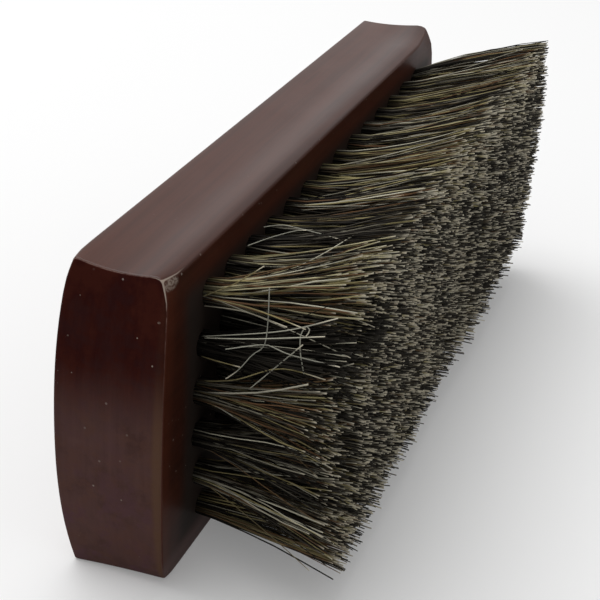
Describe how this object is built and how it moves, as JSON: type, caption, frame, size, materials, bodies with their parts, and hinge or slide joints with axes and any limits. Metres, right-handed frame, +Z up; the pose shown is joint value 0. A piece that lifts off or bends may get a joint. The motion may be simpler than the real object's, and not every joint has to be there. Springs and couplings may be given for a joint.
{
  "type": "wooden scrub brush",
  "caption": "Palm-sized brush: crowned lacquered wooden block with bowed ends, finger coves along its long sides and cross rows of natural hair tufts trimmed to a flat face.",
  "frame": {"origin": "centre of the footprint, on the surface that the brush stands on when set down on a long side", "axes": "+Z up across the block's width, +X from the block's back towards the hair tips, +Y along the block"},
  "size_m": [0.0414, 0.135, 0.052],
  "materials": {
    "lacquered_wood": "dark red-brown lacquer, semi-gloss",
    "mixed_hair": "natural tan, grey and black hair, satin"
  },
  "bodies": {
    "root": {"block": "lacquered_wood", "tuft_row_01": "mixed_hair", "tuft_row_02": "mixed_hair", "tuft_row_03": "mixed_hair", "tuft_row_04": "mixed_hair", "tuft_row_05": "mixed_hair", "tuft_row_06": "mixed_hair", "tuft_row_07": "mixed_hair", "tuft_row_08": "mixed_hair", "tuft_row_09": "mixed_hair", "tuft_row_10": "mixed_hair", "tuft_row_11": "mixed_hair", "tuft_row_12": "mixed_hair", "tuft_row_13": "mixed_hair", "tuft_row_14": "mixed_hair"}
  },
  "joints": []
}
